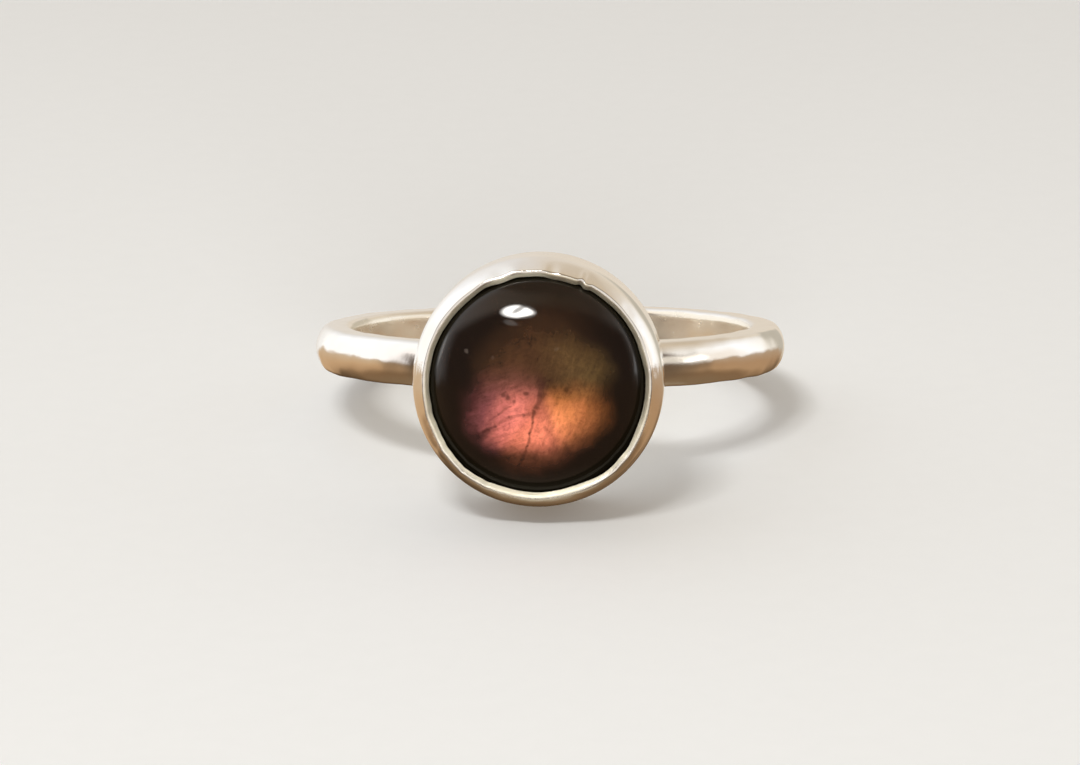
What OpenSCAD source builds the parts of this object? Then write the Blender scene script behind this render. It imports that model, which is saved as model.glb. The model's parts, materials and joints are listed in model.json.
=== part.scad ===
// Bezel-set cabochon ring, lying on its side as it rests on a table.
//
// The ring is drawn upright in its own frame first: the finger hole's axis is Z and the
// setting looks along -Y, away from the finger. It is then laid down, so that the edge of
// the cup and the back of the band touch the table at Z = 0. All sizes are in millimetres.

/* [Band] */
// Inside diameter of the band, across the finger hole
finger_d = 18.1; // [15.5:0.1:21]
// Width of the band, along the finger
band_w = 2; // [1.9:0.1:2.4]
// Thickness of the band, from the finger to its crown
band_t = 1.65; // [1.5:0.05:2]
// Radius of the softened edges beside the finger
band_edge_r = 0.35; // [0.2:0.05:0.5]
// Radius of the rounded edges beside the crown
band_shoulder_r = 0.4; // [0.3:0.05:0.5]
// Radius of the arch across the crown
band_crown_r = 1.4; // [1.3:0.05:1.75]

/* [Stone] */
// Diameter of the cabochon
stone_d = 10; // [9:0.5:11]
// Height of the cabochon's straight side
stone_side_h = 2.2; // [1.8:0.1:2.6]
// Radius of the shoulder where the side turns into the dome
stone_shoulder_r = 2; // [1.8:0.1:2.2]
// Radius of the dome
stone_dome_r = 7; // [6:0.25:8]
// Flat that is ground off the edge of the stone's base
stone_chamfer = 0.25; // [0.1:0.05:0.4]

/* [Setting] */
// Thickness of the bezel strip
bezel_t = 0.33; // [0.25:0.01:0.45]
// Angle that the rim leans in over the stone, in degrees
rim_lean = 40; // [30:1:42]
// Thickness of the back plate under the stone
plate_t = 0.5; // [0.45:0.05:0.8]
// Radius of the rounded edge round the back plate
plate_edge_r = 0.35; // [0.2:0.05:0.4]
// Clearance between the stone and the metal round it
stone_gap = 0.04; // [0.02:0.01:0.08]
// Distance that the cup's centre sits below the middle of the band's width
setting_drop = 0.28; // [0:0.02:0.4]
// Depth that the cup is bedded into the crown of the band
bed_depth = 0.15; // [0.1:0.05:0.2]
// Length of the solder under the cup, along the band
solder_l = 5.6; // [4:0.2:6]
// Width of the solder under the cup
solder_w = 1.6; // [1.2:0.1:1.8]

/* [Hidden] */

$fn = 96;
silver = [0.86, 0.84, 0.80];
dark_stone = [0.13, 0.09, 0.08];

// Band section, as radii from the finger's axis
finger_r = finger_d / 2;
crown_r_max = finger_r + band_t;
edge_h = band_w / 2 - band_edge_r;
shoulder_h = band_w / 2 - band_shoulder_r;
crown_centre = crown_r_max - band_crown_r;
shoulder_centre = crown_centre
    + sqrt(pow(band_crown_r - band_shoulder_r, 2) - pow(shoulder_h, 2));
crown_edge = [shoulder_centre - crown_centre, shoulder_h]
    * band_crown_r / (band_crown_r - band_shoulder_r);

// Setting and stone, as heights along the setting's axis from the finger's axis
stone_r = stone_d / 2;
cup_inner_r = stone_r + stone_gap;
cup_outer_r = cup_inner_r + bezel_t;
plate_back = crown_r_max - bed_depth;
plate_front = plate_back + plate_t;
stone_base = plate_front + stone_gap;
lean_start = stone_base + stone_side_h;
lean_centre_r = stone_r - stone_shoulder_r;
dome_centre = lean_start
    - sqrt(pow(stone_dome_r - stone_shoulder_r, 2) - pow(lean_centre_r, 2));
dome_edge_r = stone_dome_r * lean_centre_r / (stone_dome_r - stone_shoulder_r);
overrun = 2 * stone_d;

// Resting pose: the lean at which the cup's edge and the back of the band both touch the table
foot_rise = cup_outer_r - plate_edge_r + setting_drop - shoulder_h;
foot_span = plate_back + plate_edge_r + shoulder_centre;
rest_lean = atan2(foot_rise, foot_span)
    + asin((plate_edge_r - band_shoulder_r) / norm([foot_rise, foot_span]));
centre_h = shoulder_h * cos(rest_lean) + shoulder_centre * sin(rest_lean) + band_shoulder_r;
back_reach = crown_centre * cos(rest_lean) + band_crown_r;
front_reach = dome_centre * cos(rest_lean) + setting_drop * sin(rest_lean) + stone_dome_r;

// Half-round section of the band: flat beside the finger, arched outside, all edges rounded
module band_section() {
    inner_x = finger_r + band_edge_r;
    crown_edge_x = crown_centre + crown_edge.x;
    polygon([
        [finger_r, -edge_h],
        [inner_x, -band_w / 2],
        [shoulder_centre, -band_w / 2],
        [crown_edge_x, -crown_edge.y],
        [crown_edge_x, crown_edge.y],
        [shoulder_centre, band_w / 2],
        [inner_x, band_w / 2],
        [finger_r, edge_h],
    ]);
    for (side = [-1, 1]) {
        translate([inner_x, side * edge_h]) circle(band_edge_r);
        translate([shoulder_centre, side * shoulder_h]) circle(band_shoulder_r);
    }
    intersection() {
        translate([crown_centre, 0]) circle(band_crown_r);
        translate([crown_centre, -crown_edge.y]) square([band_crown_r, 2 * crown_edge.y]);
    }
}

// Outside of the cup as a full half section, closed over the stone
module cup_outline() {
    edge = [cup_outer_r - plate_edge_r, plate_back + plate_edge_r];
    polygon([
        [0, plate_back],
        [edge.x, plate_back],
        [cup_outer_r, edge.y],
        [cup_outer_r, lean_start],
        [0, lean_start],
    ]);
    translate(edge) circle(plate_edge_r);
    translate([lean_centre_r, lean_start]) circle(cup_outer_r - lean_centre_r);
}

// Space in the cup for the stone, and everything in front of the rim
module cup_hollow() {
    polygon([
        [0, plate_front],
        [cup_inner_r, plate_front],
        [cup_inner_r, lean_start],
        [lean_centre_r, lean_start],
        [lean_centre_r, lean_start] + overrun * [cos(rim_lean), sin(rim_lean)],
        [0, lean_start + overrun],
    ]);
    translate([lean_centre_r, lean_start]) circle(cup_inner_r - lean_centre_r);
}

// Half section of the cup: back plate with a rounded edge, straight wall, and rim pressed in
module cup_section() {
    intersection() {
        translate([0, plate_back]) square(overrun);
        difference() {
            cup_outline();
            cup_hollow();
        }
    }
}

// Half section of the stone: chamfered base, straight side, shoulder and dome
module stone_section() {
    intersection() {
        translate([0, stone_base]) square(overrun);
        union() {
            polygon([
                [0, stone_base],
                [stone_r - stone_chamfer, stone_base],
                [stone_r, stone_base + stone_chamfer],
                [stone_r, lean_start],
                [0, lean_start],
            ]);
            translate([lean_centre_r, lean_start]) circle(stone_shoulder_r);
            intersection() {
                translate([0, dome_centre]) circle(stone_dome_r);
                translate([0, dome_centre]) square([dome_edge_r, stone_dome_r]);
            }
        }
    }
}

// Turns a half section about the setting's axis, which looks along -Y a little below the band's
// middle
module turn_setting() {
    translate([0, 0, -setting_drop])
        rotate([90, 0, 0]) rotate_extrude() children();
}

// The band, a plain half-round hoop
module band() {
    rotate_extrude() band_section();
}

// The bezel cup: one strip of silver closed round the stone, on its back plate
module bezel_cup() {
    turn_setting() cup_section();
}

// Solder that fills the crevice between the flat plate and the curved band
module solder() {
    depth = band_t / 2 + plate_t / 2;
    end_x = (solder_l - solder_w) / 2;
    translate([0, -(plate_front - plate_t / 2), 0]) {
        translate([-end_x, 0, -solder_w / 2]) cube([2 * end_x, depth, solder_w]);
        for (side = [-1, 1])
            translate([side * end_x, 0, 0])
                rotate([-90, 0, 0]) cylinder(h = depth, d = solder_w);
    }
}

// Lays the upright ring on the table and brings the middle of its footprint to the origin
module lay_down() {
    translate([0, (front_reach - back_reach) / 2, centre_h])
        rotate([-rest_lean, 0, 0]) children();
}

module band_and_bezel() {
    color(silver) lay_down() {
        band();
        bezel_cup();
        solder();
    }
}

module stone() {
    color(dark_stone) lay_down() turn_setting() stone_section();
}

band_and_bezel();
stone();
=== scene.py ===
import json
import math
from collections import namedtuple

import bmesh
import bpy
from mathutils import Matrix, Vector

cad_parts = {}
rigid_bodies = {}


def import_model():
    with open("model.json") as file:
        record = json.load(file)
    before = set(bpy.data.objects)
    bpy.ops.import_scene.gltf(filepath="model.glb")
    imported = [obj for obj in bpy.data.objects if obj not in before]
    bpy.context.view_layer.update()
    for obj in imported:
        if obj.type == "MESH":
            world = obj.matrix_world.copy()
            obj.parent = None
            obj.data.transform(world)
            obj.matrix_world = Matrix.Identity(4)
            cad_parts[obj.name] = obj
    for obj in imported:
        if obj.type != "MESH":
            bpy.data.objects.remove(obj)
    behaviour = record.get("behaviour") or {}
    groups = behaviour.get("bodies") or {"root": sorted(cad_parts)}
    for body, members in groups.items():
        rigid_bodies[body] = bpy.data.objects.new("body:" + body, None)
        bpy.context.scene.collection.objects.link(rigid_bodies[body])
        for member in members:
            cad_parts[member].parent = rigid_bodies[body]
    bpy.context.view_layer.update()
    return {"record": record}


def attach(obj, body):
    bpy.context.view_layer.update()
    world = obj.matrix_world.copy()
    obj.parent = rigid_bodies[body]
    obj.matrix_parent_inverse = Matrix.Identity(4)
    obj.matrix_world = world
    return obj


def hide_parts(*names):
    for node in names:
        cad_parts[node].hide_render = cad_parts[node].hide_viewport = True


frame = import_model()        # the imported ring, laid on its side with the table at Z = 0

bl_info = {
    "name": "Bezel-set ring",
    "version": (1, 0, 0),
    "blender": (4, 5, 0),
    "location": "3D View > Sidebar > Ring",
    "description": "Makes a silver ring with a round cabochon of spectrolite in a bezel cup",
    "category": "Add Mesh",
}

MM = 0.001
BORE = frame["record"]["mounts"][0]
HOLE_CENTRE = Vector(BORE["pos_m"])
REST_LEAN = math.atan2(BORE["axis"][1], BORE["axis"][2])

# Upright ring to the ring as it lies: the finger hole's axis is Z and the setting looks along -Y
LAID_DOWN = Matrix.Translation(HOLE_CENTRE) @ Matrix.Rotation(-REST_LEAN, 4, "X")


def length(name, value, description):
    """A size in metres, given here in millimetres."""
    return bpy.props.FloatProperty(
        name=name, description=description, default=value * MM, min=0, precision=5,
        unit="LENGTH", subtype="DISTANCE")


def colour(name, value, description):
    """A linear colour."""
    return bpy.props.FloatVectorProperty(
        name=name, description=description, default=value, size=3, min=0, max=1,
        subtype="COLOR")


class RingBand(bpy.types.PropertyGroup):
    """Sizes of the half-round band."""
    hole_r: length("Hole radius", BORE["dims"]["r_mm"], "Inside radius of the band")
    width: length("Width", 2.0, "Width of the band, along the finger")
    thickness: length("Thickness", 1.65, "Thickness from the finger to the crown")
    edge_r: length("Edge radius", 0.35, "Radius of the softened edges beside the finger")
    shoulder_r: length("Shoulder radius", 0.4, "Radius of the rounded edges beside the crown")
    crown_r: length("Crown radius", 1.4, "Radius of the arch across the crown")
    waviness: length("Waviness", 0.05, "Depth of the long waves that hand finishing leaves")
    ripple: length("Ripple", 0.042, "Depth of the short waves that hand finishing leaves")


class RingSetting(bpy.types.PropertyGroup):
    """Sizes of the bezel cup and its solder."""
    strip_t: length("Strip thickness", 0.33, "Thickness of the bezel strip")
    plate_t: length("Plate thickness", 0.5, "Thickness of the back plate")
    plate_edge_r: length("Plate edge", 0.35, "Radius of the rounded edge of the back plate")
    gap: length("Gap", 0.04, "Clearance between the stone and the metal")
    bed: length("Bed", 0.15, "Depth that the plate is bedded into the band's crown")
    drop: length("Drop", 0.28, "How far the cup's centre sits below the band's middle")
    rim_edge_r: length("Rim edge", 0.12, "Radius of the rim's outer corner, worn round")
    rim_lip_r: length("Rim lip", 0.04, "Radius of the rim's corner on the stone")
    rim_lean: bpy.props.FloatProperty(
        name="Rim lean", description="Angle that the rim leans in over the stone",
        default=math.radians(40), subtype="ANGLE")
    solder_l: length("Solder length", 5.6, "Length of the solder along the band")
    solder_w: length("Solder width", 1.6, "Width of the solder under the plate")


class RingStone(bpy.types.PropertyGroup):
    """Sizes and colours of the cabochon."""
    radius: length("Radius", 5.0, "Radius of the stone's straight side")
    side_h: length("Side height", 2.2, "Height of the straight side")
    shoulder_r: length("Shoulder radius", 2.0, "Radius where the side turns into the dome")
    dome_r: length("Dome radius", 7.0, "Radius of the dome")
    chamfer: length("Chamfer", 0.25, "Flat ground off the edge of the base")
    night: colour("Night", (0.0060, 0.0034, 0.0024), "Body colour of the dark stone")
    umber: colour("Umber", (0.046, 0.020, 0.008), "Brown haze over the flash")
    olive: colour("Olive", (0.063, 0.038, 0.013), "Olive brown at the upper right")
    gold: colour("Gold", (0.360, 0.120, 0.033), "Orange on the flash's right")
    salmon: colour("Salmon", (0.575, 0.150, 0.096), "Pink heart of the flash")
    rose: colour("Rose", (0.220, 0.061, 0.064), "Dull red at the flash's left")
    copper: colour("Copper", (0.225, 0.070, 0.035), "Copper along the flash's lower edge")


def select_only(piece):
    """Selects one piece and nothing else, and makes it active."""
    bpy.ops.object.select_all(action="DESELECT")
    piece.select_set(True)
    bpy.context.view_layer.objects.active = piece


def add_primitive(add, name, **how):
    """Adds one primitive with nothing else selected, and names it."""
    bpy.ops.object.select_all(action="DESELECT")
    add(**how)
    piece = bpy.context.active_object
    piece.name = piece.data.name = name
    return piece


def apply_modifier(piece, kind, **settings):
    """Puts one modifier on a piece and applies it."""
    select_only(piece)
    modifier = piece.modifiers.new(kind.title(), kind)
    for name, value in settings.items():
        setattr(modifier, name, value)
    bpy.ops.object.modifier_apply(modifier=modifier.name)


def uneven(piece, size, depth, group=""):
    """Leaves a surface gently uneven, all over or where a vertex group says."""
    cloud = bpy.data.textures.new("hand_finish", "CLOUDS")
    cloud.noise_scale = size
    cloud.noise_depth = 1
    apply_modifier(piece, "DISPLACE", texture=cloud, strength=depth, mid_level=0.5,
                   texture_coords="LOCAL", vertex_group=group)


class Outline:
    """A half section drawn from one vertex in the XZ plane: X is the radius, Z the height."""

    def __init__(self, name, r, h):
        self.piece = add_primitive(bpy.ops.mesh.primitive_plane_add, name, size=MM)
        bpy.ops.object.mode_set(mode="EDIT")
        bpy.ops.mesh.select_all(action="SELECT")
        bpy.ops.mesh.merge(type="CENTER")
        bpy.ops.transform.translate(value=(r, 0, h))
        self.pen = Vector((r, 0, h))

    def line(self, r, h, steps):
        """Extrudes the last vertex to a point, in equal steps."""
        step = (Vector((r, 0, h)) - self.pen) / steps
        for _ in range(steps):
            bpy.ops.mesh.extrude_region_move(TRANSFORM_OT_translate={"value": step})
        self.pen = Vector((r, 0, h))

    def arc(self, r, h, angle, steps):
        """Spins the last vertex about a centre; a positive angle turns from +Z to +X."""
        centre = Vector((r, 0, h))
        bpy.ops.mesh.spin(steps=steps, angle=-angle, center=centre, axis=(0, 1, 0))
        self.pen = centre + Matrix.Rotation(angle, 3, "Y") @ (self.pen - centre)

    def lathe(self, steps):
        """Spins the whole outline about Z, closes its seam and poles, and leaves edit mode."""
        bpy.ops.mesh.select_all(action="SELECT")
        bpy.ops.mesh.remove_doubles(threshold=1e-7)
        bpy.ops.mesh.spin(steps=steps, angle=2 * math.pi, center=(0, 0, 0), axis=(0, 0, 1))
        bpy.ops.mesh.select_all(action="SELECT")
        bpy.ops.mesh.remove_doubles(threshold=2e-7)
        bpy.ops.mesh.normals_make_consistent(inside=False)
        bpy.ops.object.mode_set(mode="OBJECT")
        return self.piece


def place(piece, matrix):
    """Moves a piece and puts its place into its mesh, which leaves its object at the origin."""
    piece.matrix_world = matrix
    select_only(piece)
    bpy.ops.object.transform_apply(location=True, rotation=True, scale=True)


def setting_place(scene):
    """The setting's axis, drawn along Z, to where it looks out of the laid-down ring."""
    drop = Matrix.Translation((0, 0, -scene.ring_setting.drop))
    return LAID_DOWN @ drop @ Matrix.Rotation(math.pi / 2, 4, "X")


Heights = namedtuple("Heights", "plate_back plate_front base lean_start lean_r dome")


def heights(scene):
    """Heights along the setting's axis, from the finger hole's axis.

    The plate's back and front, the stone's base, and the centres of the bend over the stone's
    shoulder and of its dome. The first of these centres also has a radius, lean_r.
    """
    band, setting, stone = scene.ring_band, scene.ring_setting, scene.ring_stone
    plate_back = band.hole_r + band.thickness - setting.bed
    plate_front = plate_back + setting.plate_t
    base = plate_front + setting.gap
    lean_start = base + stone.side_h
    lean_r = stone.radius - stone.shoulder_r
    dome = lean_start - math.sqrt((stone.dome_r - stone.shoulder_r) ** 2 - lean_r ** 2)
    return Heights(plate_back, plate_front, base, lean_start, lean_r, dome)


# Steps all round the lathed pieces
METAL_STEPS = 360
STONE_STEPS = 288

# Size of the band's long and short waves
LONG_WAVES, SHORT_WAVES = 2.6 * MM, 1.3 * MM
# Size and depth of the rim's flats and of its finer dents
RIM_FLATS = (1.1 * MM, 0.07 * MM)
RIM_DENTS = (0.4 * MM, 0.016 * MM)


class RING_OT_make_band(bpy.types.Operator):
    """Turns the half-round section into the band, and leaves it as uneven as handwork does"""
    bl_idname = "ring.make_band"
    bl_label = "Make the band"

    def execute(self, context):
        band = context.scene.ring_band
        inner_r = band.hole_r + band.edge_r
        edge_h = band.width / 2 - band.edge_r
        shoulder_h = band.width / 2 - band.shoulder_r
        crown_r = band.hole_r + band.thickness - band.crown_r
        reach = band.crown_r - band.shoulder_r
        shoulder_r = crown_r + math.sqrt(reach ** 2 - shoulder_h ** 2)
        crown_angle = math.asin(shoulder_h / reach)

        section = Outline("band", band.hole_r, 0)
        section.line(band.hole_r, edge_h, 5)
        section.arc(inner_r, edge_h, math.pi / 2, 8)
        section.line(shoulder_r, band.width / 2, 5)
        section.arc(shoulder_r, shoulder_h, math.pi / 2 - crown_angle, 6)
        section.arc(crown_r, 0, 2 * crown_angle, 24)
        section.arc(shoulder_r, -shoulder_h, math.pi / 2 - crown_angle, 6)
        section.line(inner_r, -band.width / 2, 5)
        section.arc(inner_r, -edge_h, math.pi / 2, 8)
        section.line(band.hole_r, 0, 5)
        piece = section.lathe(METAL_STEPS)

        uneven(piece, LONG_WAVES, band.waviness)
        uneven(piece, SHORT_WAVES, band.ripple)
        place(piece, LAID_DOWN)
        return {"FINISHED"}


# Marks that the burnisher left on the rim: angle in degrees (0 right, 90 top), length along the
# rim, and push outwards and forwards, in millimetres
RIM_MARKS = ((228, 2.2, 0.09, 0.00), (314, 2.4, 0.13, 0.00), (270, 1.5, 0.02, 0.00),
             (116, 0.9, 0.05, 0.00), (109, 0.8, -0.05, 0.02), (102, 0.7, 0.04, 0.00),
             (82, 0.35, -0.03, -0.04), (74, 1.2, -0.06, 0.03), (66.5, 0.22, 0.08, -0.05),
             (64, 0.3, -0.06, 0.04), (243, 0.3, 0.03, -0.03), (229, 0.25, 0.03, -0.03),
             (215, 0.3, 0.03, 0.00), (196, 0.4, 0.03, -0.02), (318, 0.5, -0.03, 0.02))


# Where handwork shows on the rim, in millimetres: the least radius, the heights above the start of
# the lean from which waves and marks are seen, and the height over which both come in
RIM_INNER_R = 3.5
WAVES_FROM, MARKS_FROM, FADE_IN = 0.85, 0.8, 0.5


def work_rim(piece, lean_start):
    """Presses the rim over by hand: small flats along it, and the marks of the burnisher."""
    rim = piece.vertex_groups.new(name="rim")
    for vertex in piece.data.vertices:
        rise = (vertex.co.z - lean_start) / MM
        if rise > WAVES_FROM and vertex.co.xy.length > RIM_INNER_R * MM:
            rim.add([vertex.index], min(1, (rise - WAVES_FROM) / FADE_IN), "REPLACE")
    uneven(piece, *RIM_FLATS, group="rim")
    uneven(piece, *RIM_DENTS, group="rim")
    for vertex in piece.data.vertices:
        out = vertex.co.xy
        rise = (vertex.co.z - lean_start) / MM
        if rise < MARKS_FROM or out.length < RIM_INNER_R * MM:
            continue
        for degrees, reach, push, lift in RIM_MARKS:
            middle = Vector((math.cos(math.radians(degrees)), math.sin(math.radians(degrees))))
            away = (out - middle * out.length).length / (reach * MM)
            if away < 1:
                press = (1 - away ** 2) ** 2 * min(1, (rise - MARKS_FROM) / FADE_IN) * MM
                vertex.co.xy += middle * push * press
                vertex.co.z += lift * press


class RING_OT_make_cup(bpy.types.Operator):
    """Turns the bezel cup with its back plate, and works over its rim as a burnisher does"""
    bl_idname = "ring.make_cup"
    bl_label = "Make the bezel cup"

    def execute(self, context):
        setting, stone = context.scene.ring_setting, context.scene.ring_stone
        plate_back, plate_front, _, lean_start, lean_r, _ = heights(context.scene)
        inner_r = stone.radius + setting.gap
        outer_r = inner_r + setting.strip_t
        plate_r = outer_r - setting.plate_edge_r
        lean, edge_r, lip_r = setting.rim_lean, setting.rim_edge_r, setting.rim_lip_r

        def rim_dull_and_painted_light(distance, angle):
            """A point at a distance and an angle from the centre of the rim's bend."""
            return (lean_r + distance * math.cos(angle), lean_start + distance * math.sin(angle))

        bend_out, bend_in = outer_r - lean_r - edge_r, inner_r - lean_r + lip_r
        turn_out, turn_in = math.asin(edge_r / bend_out), math.asin(lip_r / bend_in)

        section = Outline("bezel_cup", 0, plate_back)
        section.line(plate_r, plate_back, 26)
        section.arc(plate_r, plate_back + setting.plate_edge_r, -math.pi / 2, 7)
        section.line(outer_r, lean_start, 14)
        section.arc(lean_r, lean_start, turn_out - lean, 14)
        section.arc(*rim_dull_and_painted_light(bend_out, lean - turn_out), -math.pi / 2 - turn_out, 5)
        section.line(*rim_dull_and_painted_light(bend_in * math.cos(turn_in), lean), 4)
        section.arc(*rim_dull_and_painted_light(bend_in, lean - turn_in), turn_in - math.pi / 2, 4)
        section.arc(lean_r, lean_start, lean - turn_in, 10)
        section.line(inner_r, plate_front, 6)
        section.line(0, plate_front, 8)
        piece = section.lathe(METAL_STEPS)
        work_rim(piece, lean_start)

        place(piece, setting_place(context.scene))
        return {"FINISHED"}


def add_solder(scene):
    """Makes the block of solder between the plate and the band's crown, with rounded ends."""
    band, setting = scene.ring_band, scene.ring_setting
    depth = (band.thickness + setting.plate_t) / 2
    middle = depth / 2 - (heights(scene).plate_front - setting.plate_t / 2)
    solder = add_primitive(bpy.ops.mesh.primitive_cube_add, "solder", size=1)
    bpy.ops.object.mode_set(mode="EDIT")
    bpy.ops.mesh.select_all(action="SELECT")
    bpy.ops.transform.resize(value=(setting.solder_l, depth, setting.solder_w))
    bpy.ops.transform.translate(value=(0, middle, 0))
    mesh = bmesh.from_edit_mesh(solder.data)
    for edge in mesh.edges:
        a, b = (vertex.co for vertex in edge.verts)
        edge.select = abs(a.y - b.y) > depth / 2
    bmesh.update_edit_mesh(solder.data)
    almost_half = 0.49 * setting.solder_w
    bpy.ops.mesh.bevel(offset=almost_half, segments=12, affect="EDGES")
    bpy.ops.mesh.select_all(action="SELECT")
    bpy.ops.mesh.normals_make_consistent(inside=False)
    bpy.ops.object.mode_set(mode="OBJECT")
    place(solder, LAID_DOWN)
    return solder


def soften_joins(metal, plate_back):
    """Smooths the sharp edges behind the plate's back, where the solder fills them."""
    upright = LAID_DOWN.inverted()
    reach = plate_back + 0.05 * MM
    select_only(metal)
    bpy.ops.object.mode_set(mode="EDIT")
    bpy.ops.mesh.select_mode(type="EDGE")
    bpy.ops.mesh.select_all(action="DESELECT")
    bpy.ops.mesh.edges_select_sharp(sharpness=math.radians(20))
    bpy.ops.mesh.select_mode(type="VERT")
    mesh = bmesh.from_edit_mesh(metal.data)
    for vertex in mesh.verts:
        if (upright @ vertex.co).y < -reach:
            vertex.select = False
    mesh.select_flush_mode()
    bmesh.update_edit_mesh(metal.data)
    for _ in range(2):
        bpy.ops.mesh.select_more()
    bpy.ops.mesh.vertices_smooth(factor=0.5, repeat=8)
    bpy.ops.object.mode_set(mode="OBJECT")


class RING_OT_solder_metal(bpy.types.Operator):
    """Solders the cup onto the band with a fillet, as one piece of silver"""
    bl_idname = "ring.solder_metal"
    bl_label = "Solder the cup onto the band"

    def execute(self, context):
        solder = add_solder(context.scene)
        metal, cup = bpy.data.objects["band"], bpy.data.objects["bezel_cup"]
        metal.name = metal.data.name = "silver_ring"
        for part in (solder, cup):
            apply_modifier(metal, "BOOLEAN", operation="UNION", solver="EXACT", object=part)
            bpy.data.objects.remove(part)
        soften_joins(metal, heights(context.scene).plate_back)
        bpy.ops.object.shade_smooth()

        metal.data.materials.clear()
        metal.data.materials.append(silver_material(context.scene))
        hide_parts("band_and_bezel")
        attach(metal, "root")
        return {"FINISHED"}


class RING_OT_make_stone(bpy.types.Operator):
    """Turns the domed cabochon, polished all over"""
    bl_idname = "ring.make_stone"
    bl_label = "Make the stone"

    def execute(self, context):
        stone = context.scene.ring_stone
        _, _, base, lean_start, lean_r, dome = heights(context.scene)
        turn = math.atan2(lean_start - dome, lean_r)

        section = Outline("cabochon", 0, base)
        section.line(stone.radius - stone.chamfer, base, 6)
        section.line(stone.radius, base + stone.chamfer, 2)
        section.line(stone.radius, lean_start, 5)
        section.arc(lean_r, lean_start, -turn, 20)
        section.arc(0, dome, turn - math.pi / 2, 36)
        piece = section.lathe(STONE_STEPS)
        place(piece, setting_place(context.scene))
        bpy.ops.object.shade_smooth_by_angle(angle=math.radians(35))

        piece.data.materials.clear()
        piece.data.materials.append(spectrolite_material(context.scene))
        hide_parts("stone")
        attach(piece, "root")
        return {"FINISHED"}


# Camera fitted to the photograph, in millimetres, degrees and pixels of the photograph: where it
# is as seen from the upright ring, and where the finger hole's centre falls in the picture
CAMERA = {"distance": 190.0, "elevation": 5.98, "yaw": 2.40, "roll": -0.12,
          "px_per_mm": 21.83, "hole_px": (550.5, 345.1)}
FRAME_PX = (1080, 765)
SENSOR_MM = 36.0
# What the camera sees, and the radius of the floor, in metres
NEAREST, FARTHEST = 0.01, 10
FLOOR_R = 1.5

# Area lights: azimuth (0 in front, turning to the right) and elevation in degrees, distance and
# size in metres, power in watts, and tint
LIGHTS = {
    "window": (-27.5, 58.8, 0.45, (0.20, 0.086), 1.85, (1, 0.97, 0.93)),
    "window_low": (-30, 50.0, 0.45, (0.10, 0.040), 0.011, (1, 0.97, 0.93)),
    "front_fill": (4, 8, 0.60, (0.30, 0.12), 2.6, (1, 0.985, 0.97)),
    "silver_card": (0, 24, 0.50, (1.9, 0.85), 3.4, (1, 0.98, 0.95)),
    "side_card": (69, 15, 0.50, (0.28, 0.23), 0.12, (1, 0.94, 0.82)),
    "stone_card": (-86, 14, 0.50, (0.15, 0.26), 0.21, (1, 0.97, 0.95)),
}
# Cards that only one piece sees, and only in its reflections
CARDS = {"silver_card": "silver_ring", "side_card": "silver_ring", "stone_card": "cabochon"}
# Turn of the window about its own axis, in degrees
WINDOW_TURN = 13

# Linear colour of what the camera sees past the floor, and how much stronger the light all round
# is than the colours it is mixed from
BACKDROP = (0.815, 0.776, 0.730)
WORLD_GAIN = (1.15, 1.15, 1.15)


def camera_axes():
    """Right, up and back of the camera in the upright ring's frame."""
    rise, yaw, roll = (math.radians(CAMERA[k]) for k in ("elevation", "yaw", "roll"))
    back = Vector((math.sin(yaw) * math.cos(rise), -math.cos(yaw) * math.cos(rise),
                   math.sin(rise)))
    level = Vector((math.cos(yaw), math.sin(yaw), 0))
    above = back.cross(level)
    right = math.cos(roll) * level + math.sin(roll) * above
    up = -math.sin(roll) * level + math.cos(roll) * above
    return right, up, back


def set_camera(scene):
    """Puts the camera at the photograph's angle to the ring."""
    right, up, back = camera_axes()
    scale = CAMERA["px_per_mm"]
    across = (CAMERA["hole_px"][0] - FRAME_PX[0] / 2) / scale
    above = -(CAMERA["hole_px"][1] - FRAME_PX[1] / 2) / scale
    eye = (back * CAMERA["distance"] - right * across - up * above) * MM
    axes = Matrix((right, up, back)).transposed().to_4x4()
    bpy.ops.object.camera_add()
    camera = bpy.context.active_object
    camera.name = "camera"
    camera.matrix_world = LAID_DOWN @ Matrix.Translation(eye) @ axes
    camera.data.sensor_fit = "HORIZONTAL"
    camera.data.sensor_width = SENSOR_MM
    camera.data.lens = scale * CAMERA["distance"] * SENSOR_MM / FRAME_PX[0]
    camera.data.clip_start = NEAREST
    camera.data.clip_end = FARTHEST
    scene.camera = camera
    scene.view_settings.view_transform = "Standard"


def set_lights():
    """Hangs a window with a faint one below it, a fill in front, and the cards."""
    lights = {name: add_softbox(name, *setting) for name, setting in LIGHTS.items()}
    for name in ("window", "window_low"):
        lights[name].data.shape = "ELLIPSE"
    lights["window"].rotation_euler.rotate_axis("Z", math.radians(WINDOW_TURN))
    soften_light(lights["window"], marked=True)
    soften_light(lights["window_low"])
    lights["front_fill"].visible_glossy = False
    for name, piece in CARDS.items():
        card = lights[name]
        card.visible_diffuse = False
        soften_light(card)
        shown_to = bpy.data.collections.new(name + "_receivers")
        shown_to.objects.link(bpy.data.objects[piece])
        card.light_linking.receiver_collection = shown_to


class RING_OT_set_stage(bpy.types.Operator):
    """Lays the floor and sets the lights and the camera"""
    bl_idname = "ring.set_stage"
    bl_label = "Set the stage"

    def execute(self, context):
        set_camera(context.scene)
        floor = add_primitive(bpy.ops.mesh.primitive_circle_add, "floor", vertices=96,
                              radius=FLOOR_R, fill_type="NGON")
        floor.data.materials.append(floor_material())
        floor.visible_glossy = False
        set_world(context.scene)
        set_lights()
        return {"FINISHED"}


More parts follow.
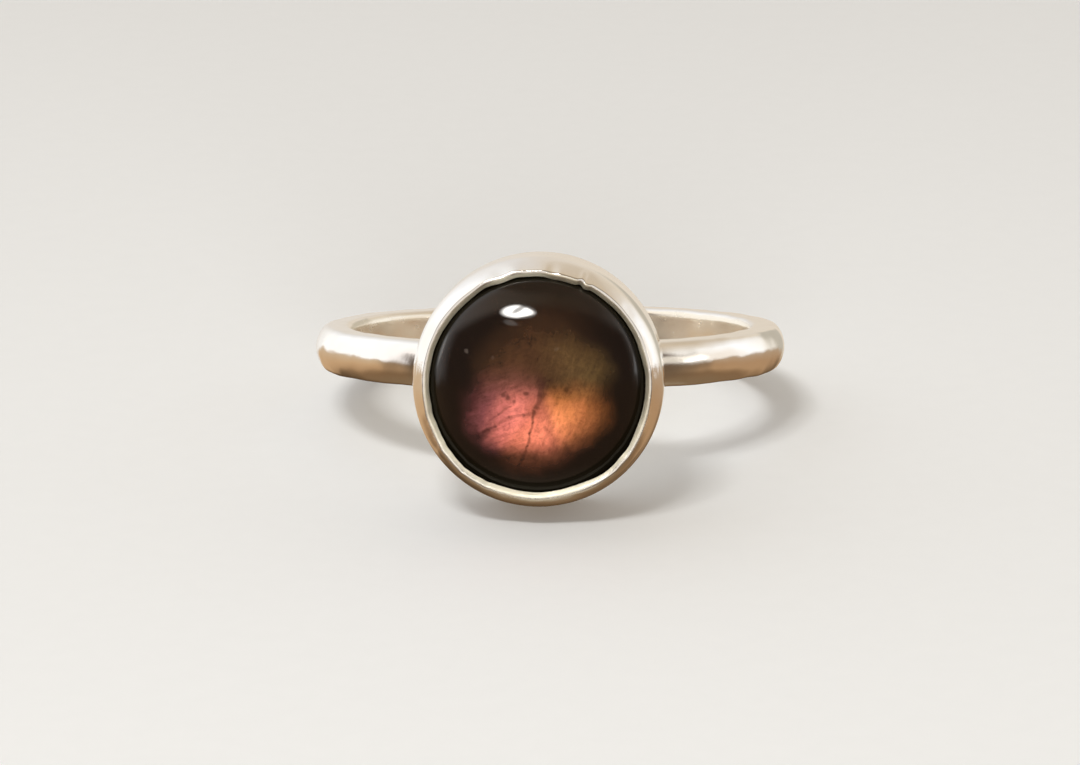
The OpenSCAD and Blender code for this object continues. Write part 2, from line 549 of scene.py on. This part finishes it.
def soften_light(light, marked=False):
    """Fades a light towards its edge, and can leave a small slanting mark near its middle."""
    light.data.use_nodes = True
    wire = Wiring(light.data.node_tree)
    wire.tree.nodes.clear()
    across, along, _ = wire.split(wire.node("NewGeometry", out="Parametric"))
    across = wire.math("SUBTRACT", across, 0.5)
    along = wire.math("SUBTRACT", along, 0.5)
    narrow = wire.math("ADD", wire.math("MAXIMUM", across, 0.0), 1.0)
    level = wire.smooth(wire.span(across, wire.times(along, narrow)), 0.5, 0.24, 0.03, 1.0)
    if marked:
        high = wire.math("SUBTRACT", along, 0.12)
        long = wire.math("MULTIPLY_ADD", high, 1.3, wire.times(across, 4.6))
        wide = wire.math("MULTIPLY_ADD", high, 5.2, wire.times(across, -8.7))
        level = wire.times(level, wire.smooth(wire.span(long, wide), 0.4, 1.9, 0.22, 1.0))
    glow = wire.node("Emission", {"Strength": level})
    wire.node("OutputLight", {"Surface": glow}, out=None)


def add_softbox(name, azimuth, elevation, distance, size, power, tint):
    """Adds an area light that looks at the ring and that the camera doesn't see."""
    turn, rise = math.radians(azimuth), math.radians(elevation)
    away = Vector((math.sin(turn) * math.cos(rise), -math.cos(turn) * math.cos(rise),
                   math.sin(rise)))
    bpy.ops.object.light_add(type="AREA", location=away * distance)
    light = bpy.context.active_object
    light.name = name
    light.data.shape = "RECTANGLE"
    light.data.size, light.data.size_y = size
    light.data.energy = power
    light.data.color = tint
    light.rotation_euler = away.to_track_quat("Z", "Y").to_euler()
    light.visible_camera = False
    return light


def set_world(scene):
    """Soft light all round, in the upright ring's frame: X right, Y to the back, Z up."""
    world = bpy.data.worlds.new("studio")
    world.use_nodes = True
    scene.world = world
    world.node_tree.nodes.clear()
    wire = Wiring(world.node_tree)
    direction = wire.node("TexCoord", out="Generated")
    upright = wire.node("Mapping", {"Vector": direction, "Rotation": (-REST_LEAN, 0, 0)},
                        vector_type="TEXTURE")
    x, y, z = wire.split(upright)
    front = wire.times(y, -1)
    around = wire.mix(above_horizon(wire, upright, y, z, front),
                      ground_colour(wire, x, y, z, front), wall_colour(wire, x, y, z, front))
    around = wire.mix(1.0, around, WORLD_GAIN, blend="MULTIPLY")
    seen = wire.node("LightPath", out="Is Camera Ray")
    shade = wire.mix(seen, around, BACKDROP)
    light = wire.node("Background", {"Color": shade})
    wire.node("OutputWorld", {"Surface": light}, out=None)


def wall_colour(wire, x, y, z, front):
    """Pale walls, warmer overhead at the right, and a dim room in front of the ring."""
    # The walls from left to right, then a ceiling at the right, a cooler wall high at the back,
    # and a dim corner low at the back
    side = wire.smooth(x, -1, 1, kind="LINEAR")
    walls = wire.ramp(side, (
        (0.19, (0.98, 0.96, 0.93)), (0.25, (0.88, 0.865, 0.84)), (0.33, (0.79, 0.76, 0.715)),
        (0.42, (0.68, 0.64, 0.59)), (0.50, (0.65, 0.575, 0.48)), (0.75, (0.72, 0.63, 0.50)),
        (0.93, (1.0, 1.0, 0.99)), (0.985, (0.84, 0.77, 0.69))))
    ceiling = wire.times(wire.smooth(z, 0.34, 0.84), wire.smooth(x, -0.05, 0.35))
    walls = wire.mix(ceiling, walls, (0.54, 0.445, 0.33))
    rear = wire.times(wire.smooth(z, 0.22, 0.40), wire.smooth(y, 0.10, 0.35))
    walls = wire.mix(rear, walls, (0.985, 1.0, 1.04), blend="MULTIPLY")
    corner = wire.times(wire.smooth(x, 0.14, 0.30), wire.smooth(x, 0.70, 0.52),
                        wire.smooth(z, 0.48, 0.30), wire.smooth(y, 0.3, 0.6), 0.8)
    walls = wire.mix(corner, walls, (0.40, 0.37, 0.31))

    # In front the walls are darker, apart from a bright sliver low at the right
    near = wire.ramp(side, (
        (0.02, (1.0, 0.93, 0.90)), (0.25, (0.72, 0.58, 0.46)), (0.45, (0.46, 0.37, 0.26)),
        (0.60, (0.24, 0.20, 0.13)), (0.80, (0.34, 0.26, 0.19)), (0.97, (0.80, 0.74, 0.66))))
    walls = wire.mix(wire.smooth(front, 0.05, 0.38), walls, near)
    glint = wire.times(wire.smooth(x, 0.94, 0.958), wire.smooth(x, 0.992, 0.975),
                       wire.smooth(z, -0.02, 0.05), wire.smooth(z, 0.27, 0.18))
    walls = wire.mix(wire.times(glint, wire.smooth(front, 0.15, 0.25)), walls, (1.5, 1.5, 1.5))
    overhead = wire.times(wire.smooth(z, 0.86, 0.92), wire.smooth(front, 0.05, 0.2))
    walls = wire.mix(overhead, walls, (0.27, 0.20, 0.13))

    # The dim room behind the camera gets narrower higher up
    lifted = wire.times(wire.math("MAXIMUM", wire.math("SUBTRACT", z, 0.42), 0.0), 0.75)
    room = wire.smooth(wire.math("SUBTRACT", front, lifted), 0.20, 0.40)
    room = wire.times(room, wire.math("SUBTRACT", 1.0, glint))
    return wire.mix(room, walls, (0.11, 0.08, 0.06))


def ground_colour(wire, x, y, z, front):
    """Warm tan for reflections from below, dark low at the back and in front."""
    # From straight down to the horizon
    ground = wire.ramp(wire.math("ADD", z, 1.0), (
        (0.0, (0.44, 0.37, 0.26)), (0.07, (0.36, 0.29, 0.20)), (0.2, (0.19, 0.125, 0.068)),
        (0.45, (0.195, 0.113, 0.056)), (0.53, (0.26, 0.155, 0.078)),
        (0.62, (0.40, 0.245, 0.128)), (0.76, (0.50, 0.32, 0.175)), (0.91, (0.53, 0.38, 0.24)),
        (1.0, (0.54, 0.42, 0.30))))
    right = wire.times(wire.smooth(x, 0.1, 0.4), wire.smooth(z, -0.45, -0.2))
    ground = wire.mix(right, ground, (0.74, 0.70, 0.68), blend="MULTIPLY")
    behind = wire.smooth(wire.math("MULTIPLY_ADD", x, -0.25, y), 0.6, 0.95)
    sunk = wire.math("ADD", z, wire.smooth(x, -0.15, -0.45, 0.0, 0.20))
    deep = wire.times(wire.smooth(sunk, -0.12, -0.25), wire.smooth(z, -0.97, -0.78))
    ground = wire.mix(wire.times(behind, deep), ground, (0.085, 0.052, 0.027))
    return wire.mix(wire.smooth(front, -0.12, 0.42), ground, (0.13, 0.085, 0.05))


def above_horizon(wire, upright, y, z, front):
    """1 above a ragged horizon and 0 below it. It lies lower at the back, and is soft in front."""
    ragged = wire.math("SUBTRACT", wire.noise(upright, 7.0, detail=3), 0.5)
    level = wire.math("MULTIPLY_ADD", wire.smooth(y, 0.75, 0.98), 0.12, z)
    level = wire.math("MULTIPLY_ADD", ragged, 0.26, level)
    nearer = wire.smooth(front, -0.05, 0.20)
    level = wire.times(wire.math("MULTIPLY_ADD", nearer, 0.05, level),
                       wire.math("MULTIPLY_ADD", nearer, -0.75, 1.0))
    return wire.smooth(level, -0.03, 0.03)


class Wiring:
    """Adds nodes to one tree. A value may be a number, a colour or another node's output."""

    def __init__(self, tree):
        self.tree = tree

    def node(self, kind, values=None, out=0, **settings):
        """Adds a node, fills in its sockets and returns one of its outputs."""
        item = self.tree.nodes.new("ShaderNode" + kind)
        for name, value in settings.items():
            setattr(item, name, value)
        self.fill(item, values or {})
        return item if out is None else item.outputs[out]

    def fill(self, item, values):
        """Links or sets a node's sockets."""
        for socket, value in values.items():
            field = item.inputs[socket]
            if isinstance(value, bpy.types.NodeSocket):
                self.tree.links.new(value, field)
            else:
                wide = isinstance(value, tuple) and len(field.default_value) > len(value)
                field.default_value = (*value, 1) if wide else value

    def math(self, operation, *values):
        """One step of arithmetic."""
        return self.node("Math", dict(enumerate(values)), operation=operation)

    def times(self, product, *values):
        """The product of several values."""
        for value in values:
            product = self.math("MULTIPLY", product, value)
        return product

    def smooth(self, value, low, high, start=0, end=1, kind="SMOOTHSTEP"):
        """Goes from start to end as the value goes from low to high."""
        return self.node("MapRange", {"Value": value, "From Min": low, "From Max": high,
                                      "To Min": start, "To Max": end}, interpolation_type=kind)

    def mix(self, factor, first, second, blend="MIX"):
        """The first colour, with the second blended over it as far as the factor says."""
        return self.node("Mix", {0: factor, 6: first, 7: second}, out=2,
                         data_type="RGBA", blend_type=blend)

    def split(self, vector):
        """A vector's X, Y and Z."""
        item = self.node("SeparateXYZ", {0: vector}, out=None)
        return tuple(item.outputs)

    def span(self, first, second):
        """Distance from the origin in the plane of two axes."""
        flat = self.node("CombineXYZ", {0: first, 1: 0.0, 2: second})
        return self.node("VectorMath", {0: flat}, out=1, operation="LENGTH")

    def noise(self, vector, scale, detail=2.0, roughness=0.5):
        """Soft noise about 0.5."""
        return self.node("TexNoise", {"Vector": vector, "Scale": scale, "Detail": detail,
                                      "Roughness": roughness})

    def ramp(self, value, stops):
        """A colour that depends on a value, given as (value, colour) pairs."""
        item = self.node("ValToRGB", {0: value}, out=None)
        elements = item.color_ramp.elements
        elements.remove(elements[-1])
        elements[0].position, elements[0].color = stops[0][0], (*stops[0][1], 1)
        for position, shade in stops[1:]:
            elements.new(position).color = (*shade, 1)
        return item.outputs[0]

    def turned(self, vector, centre, angle, scale=(1, 1, 1)):
        """Coordinates about a centre in the XZ plane, with X turned up by an angle."""
        return self.node("Mapping", {"Vector": vector, "Location": (centre[0], 0, centre[1]),
                                     "Rotation": (0, -angle, 0), "Scale": scale},
                         vector_type="TEXTURE")

    def setting_mm(self, drop):
        """Object coordinates as millimetres in the upright ring, from the setting's axis."""
        centre = LAID_DOWN @ Vector((0, 0, -drop))
        return self.node("Mapping", {"Vector": self.node("TexCoord", out="Object"),
                                     "Location": tuple(centre), "Rotation": (-REST_LEAN, 0, 0),
                                     "Scale": (MM, MM, MM)}, vector_type="TEXTURE")


def new_material(name):
    """A material with one Principled shader; returns it, its wiring and the shader."""
    material = bpy.data.materials.new(name)
    material.use_nodes = True
    tree = material.node_tree
    tree.nodes.clear()
    output = tree.nodes.new("ShaderNodeOutputMaterial")
    shader = tree.nodes.new("ShaderNodeBsdfPrincipled")
    tree.links.new(shader.outputs[0], output.inputs["Surface"])
    return material, Wiring(tree), shader


def floor_material():
    """Pale matt card."""
    material, wire, shader = new_material("pale_card")
    grain = wire.noise(wire.node("TexCoord", out="Object"), 900.0, detail=3)
    shade = wire.mix(grain, (0.822, 0.860, 0.888), (0.842, 0.880, 0.908))
    wire.fill(shader, {"Base Color": shade, "Roughness": 0.85})
    return material


def silver_material(scene):
    """Polished silver: bright, with fine scratches, and a brushed rim that the burnisher left,
    duller low down as painted light.
    """
    levels = heights(scene)
    bend, back, hole = (size / MM for size in
                        (levels.lean_start, levels.plate_back, scene.ring_band.hole_r))
    material, wire, shader = new_material("polished_silver")
    spot = wire.setting_mm(scene.ring_setting.drop)
    x, y, z = wire.split(spot)

    # Where the silver is the rim's face, the band's inside, and the edge of the back plate
    forward = wire.times(y, -1)
    rim_edge = wire.smooth(z, 0.5, -1.5, 4.83, 4.99)
    rim = wire.times(wire.smooth(wire.span(x, z), rim_edge, 4.70),
                     wire.smooth(forward, bend + 0.9, bend + 1.15))
    inside = wire.smooth(wire.span(x, y), hole + 0.15, hole + 0.05)
    plate = wire.times(wire.smooth(forward, back - 0.1, back - 0.02),
                       wire.smooth(forward, back + 0.2, back + 0.05))

    cloudy = wire.noise(spot, 1.4, detail=3)
    scuffs = wire.noise(wire.node("Mapping", {"Vector": spot, "Scale": (6, 6, 38)}), 1.0,
                        detail=3, roughness=0.6)
    rough = wire.smooth(cloudy, 0.35, 0.7, 0.07, 0.15)
    worn = wire.smooth(cloudy, 0.3, 0.8, 0.20, 0.30)
    brushed = wire.smooth(scuffs, 0.35, 0.7, 0.42, 0.58)
    for where, finish in ((inside, worn), (rim, brushed), (plate, worn)):
        rough = wire.node("Mix", {0: where, 2: rough, 3: finish})

    shade = wire.mix(wire.smooth(wire.noise(spot, 0.8, detail=4), 0.4, 0.75),
                     (0.955, 0.94, 0.915), (0.925, 0.90, 0.86))
    shade = wire.mix(rim, shade, (0.95, 0.895, 0.71))
    shade = wire.mix(inside, shade, (0.93, 0.875, 0.77))

    grit = wire.noise(spot, 9.0, detail=3, roughness=0.6)
    depth = wire.math("MULTIPLY_ADD", rim, 0.020, 0.0015)
    depth = wire.times(depth, wire.smooth(inside, 0, 1, 1.0, 0.3))
    relief = wire.math("ADD", wire.times(grit, depth), wire.times(scuffs, 0.0012))
    bump = wire.node("Bump", {"Height": relief, "Distance": MM, "Strength": 1.0})

    dull_and_painted_light = dull_share_with_painted_light(wire, spot, rim, inside, plate)
    wire.fill(shader, {"Base Color": shade, "Roughness": rough, "Normal": bump,
                       "Metallic": wire.math("SUBTRACT", 1.0, dull_and_painted_light)})
    return material


def dull_share_with_painted_light(wire, spot, rim, inside, plate):
    """How much of the silver is dull instead of a mirror: most low on the rim's face, as painted
    light that makes that face lighter.
    """
    x, _, z = wire.split(spot)
    grain = wire.smooth(wire.noise(spot, 5.5), 0.38, 0.62, 0.80, 1.06)
    # Painted light, with real grit: the rim is duller, and so lighter, low down, in a patch at the
    # top and towards the left; the grain is the burnisher's grit
    crown = wire.times(wire.smooth(x, -2.6, -1.6), wire.smooth(x, 0.7, 0.0),
                       wire.smooth(z, 3.9, 4.5, 0.0, 0.22))
    rim_dull_and_painted_light = wire.math("MULTIPLY_ADD", wire.smooth(z, -0.4, -3.4, 0.0, 0.55), grain, crown)
    rim_dull_and_painted_light = wire.math("ADD", rim_dull_and_painted_light, wire.smooth(x, -4.6, 0.5, 0.13, 0.07))
    share = wire.math("MULTIPLY_ADD", inside, 0.16, wire.times(rim, rim_dull_and_painted_light))
    return wire.math("MULTIPLY_ADD", plate, 0.40, share)


# Places on the stone's face are in millimetres to the right and up from its middle.
# Soft lobes of colour that make the flash: the colour, its centre, how many degrees it is turned,
# and its reach to the left, right, top and bottom
LOBES = (("umber", (-1.0, 0.5), 50, (2.0, 4.8, 2.2, 4.0)),
         ("olive", (2.3, 0.7), 55, (1.8, 1.2, 3.2, 1.4)),
         ("gold", (1.1, -1.1), 15, (0.9, 2.5, 1.7, 1.9)),
         ("salmon", (-0.4, -2.0), 0, (2.1, 2.2, 2.6, 1.1)),
         ("rose", (-1.1, -1.5), 55, (2.0, 2.8, 2.7, 0.8)),
         ("copper", (0.7, -1.5), 35, (3.4, 2.2, 0.8, 2.1)))
# Cracks: their corners, half their width, and how much of the colour is lost
CRACKS = ((((0.35, 0.45), (0.2, -0.25), (0.05, -0.8), (-0.05, -1.15)), 0.17, 0.36),
          (((-0.05, -1.0), (-0.1, -1.45), (-0.25, -1.9), (-0.35, -2.5)), 0.10, 0.52),
          (((-0.35, -2.5), (-0.6, -3.05), (-0.85, -3.7)), 0.10, 0.4),
          (((-2.2, -1.9), (-1.7, -1.6), (-1.1, -1.25), (-0.5, -1.15), (-0.15, -1.1)), 0.10, 0.34),
          (((-2.4, -2.15), (-2.0, -1.8)), 0.18, 0.4),
          (((-1.95, -1.4), (-1.55, -1.15), (-1.05, -0.75)), 0.09, 0.25))
# Specks: place, radius, how much of the colour is lost
SPECKS = ((-1.35, -0.3, 0.13, 0.5), (-1.15, -0.4, 0.14, 0.6), (-0.9, -0.55, 0.10, 0.5),
          (-0.4, -0.2, 0.13, 0.6), (1.3, -0.05, 0.15, 0.5), (0.8, 0.05, 0.11, 0.35),
          (-2.85, -0.9, 0.22, 0.4))
# Pale specks: place, radius, strength
PALE_SPECKS = ((-2.95, 1.5, 0.12, 0.15), (-1.8, 1.3, 0.09, 0.06), (0.9, 1.7, 0.12, 0.06))


def spectrolite_material(scene):
    """Dark polished labradorite: a coppery flash low in the dome, cracks and specks in it, and a
    painted shade ring at its edge.
    """
    stone = scene.ring_stone
    material, wire, shader = new_material("spectrolite")
    spot = wire.setting_mm(scene.ring_setting.drop)
    bent = wandering(wire, spot, 0.8, 0.4)
    u = wire.split(bent)[0]

    left_grain = wire.noise(wire.turned(spot, (0, 0), math.radians(25), (0.75, 1, 0.16)), 1.0,
                            detail=4, roughness=0.65)
    mid_grain = wire.noise(wire.turned(spot, (0, 0), math.radians(72), (0.7, 1, 0.18)), 1.0,
                           detail=5, roughness=0.7)
    grain = wire.node("Mix", {0: wire.smooth(u, -1.2, 0.2), 2: left_grain, 3: mid_grain})
    mottle = wire.noise(wandering(wire, spot, 2.5, 0.3), 3.2, detail=5, roughness=0.72)
    whole = wire.math("ADD", wire.smooth(grain, 0.3, 0.7, 0.68, 1.20, kind="LINEAR"),
                      wire.smooth(mottle, 0.35, 0.65, -0.26, 0.24, kind="LINEAR"))

    fine = wandering(wire, spot, 2.2, 0.16)
    crisp = wandering(wire, spot, 3.0, 0.05)
    for corners, half, loss in CRACKS:
        for start, end in zip(corners, corners[1:]):
            whole = wire.times(whole, crack(wire, fine, start, end, half, loss))
    for right, high, size, loss in SPECKS:
        lost = speck(wire, crisp, right, high, size, loss)
        whole = wire.times(whole, wire.math("SUBTRACT", 1.0, lost))

    body = tuple(stone.night)
    for name, centre, turn, reaches in LOBES:
        strength = wire.times(lobe(wire, bent, centre, turn, reaches), whole)
        body = wire.mix(strength, body, tuple(getattr(stone, name)), blend="ADD")
    for right, high, size, gain in PALE_SPECKS:
        body = wire.mix(speck(wire, fine, right, high, size, gain), body, (0.30, 0.25, 0.21))

    # Painted shade: a dark ring round the stone's edge next to the rim, wider at the bottom, where
    # the gap lies in shadow; its reflection is weakened there too
    x, _, z = wire.split(spot)
    lower_edge = wire.smooth(z, -4, 4, 0, 0.27, kind="LINEAR")
    painted_edge_shade = wire.smooth(wire.math("SUBTRACT", wire.span(x, z), lower_edge), 4.07, 4.20)
    body = wire.mix(painted_edge_shade, body, (0.004, 0.003, 0.0015))
    wire.fill(shader, {"Base Color": body, "Roughness": 0.035, "IOR": 1.56,
                       "Specular IOR Level": wire.smooth(painted_edge_shade, 0, 1, 0.5, 0.08)})
    return material


def wandering(wire, spot, scale, reach):
    """The same coordinates with a soft wander, so that nothing looks ruled."""
    wander = wire.node("TexNoise", {"Vector": spot, "Scale": scale, "Detail": 2.0}, out="Color")
    wander = wire.node("VectorMath", {0: wander, 1: (-0.5, -0.5, -0.5)}, operation="ADD")
    return wire.node("VectorMath", {0: wander, 1: (2 * reach, 2 * reach, 2 * reach), 2: spot},
                     operation="MULTIPLY_ADD")


def lobe(wire, spot, centre, turn, reaches):
    """A soft glow, 1 at its centre and 0 at its reach to the left, right, top and bottom."""
    left, right, top, bottom = reaches
    x, _, z = wire.split(wire.turned(spot, centre, math.radians(turn)))
    sides = [wire.math("ADD", wire.math("DIVIDE", wire.math("MAXIMUM", axis, 0.0), far),
                       wire.math("DIVIDE", wire.math("MINIMUM", axis, 0.0), near))
             for axis, near, far in ((x, left, right), (z, bottom, top))]
    return wire.smooth(wire.span(*sides), 0, 1, 1, 0)


def crack(wire, spot, start, end, half, loss):
    """What is left of the colour along one straight piece of a crack."""
    run, climb = end[0] - start[0], end[1] - start[1]
    long = math.hypot(run, climb)
    along, _, off = wire.split(wire.turned(spot, start, math.atan2(climb, run)))
    past = wire.math("MAXIMUM", wire.math("SUBTRACT", along, long), wire.times(along, -1))
    away = wire.span(off, wire.math("MAXIMUM", past, 0.0))
    return wire.smooth(away, half * 0.15, half, 1 - loss, 1)


def speck(wire, spot, right, high, size, strength):
    """A small soft spot on the stone's face."""
    x, _, z = wire.split(wire.turned(spot, (right, high), 0))
    return wire.smooth(wire.span(x, z), size * 1.2, size * 0.3, 0, strength)


class VIEW3D_PT_ring(bpy.types.Panel):
    """Lists the steps that make the ring"""
    bl_label = "Bezel-set ring"
    bl_space_type = "VIEW_3D"
    bl_region_type = "UI"
    bl_category = "Ring"

    def draw(self, context):
        for operator in OPERATORS:
            self.layout.operator(operator.bl_idname)
        for group in (context.scene.ring_band, context.scene.ring_setting,
                      context.scene.ring_stone):
            for name in group.__annotations__:
                self.layout.prop(group, name)


GROUPS = {"ring_band": RingBand, "ring_setting": RingSetting, "ring_stone": RingStone}
OPERATORS = (RING_OT_make_band, RING_OT_make_cup, RING_OT_solder_metal,
             RING_OT_make_stone, RING_OT_set_stage)


def register():
    for item in (*GROUPS.values(), *OPERATORS, VIEW3D_PT_ring):
        bpy.utils.register_class(item)
    for name, group in GROUPS.items():
        setattr(bpy.types.Scene, name, bpy.props.PointerProperty(type=group))


def unregister():
    for name in GROUPS:
        delattr(bpy.types.Scene, name)
    for item in (VIEW3D_PT_ring, *reversed(OPERATORS), *reversed(GROUPS.values())):
        bpy.utils.unregister_class(item)


def main():
    register()
    bpy.ops.ring.make_band()
    bpy.ops.ring.make_cup()
    bpy.ops.ring.solder_metal()
    bpy.ops.ring.make_stone()
    bpy.ops.ring.set_stage()


if __name__ == "__main__":
    main()
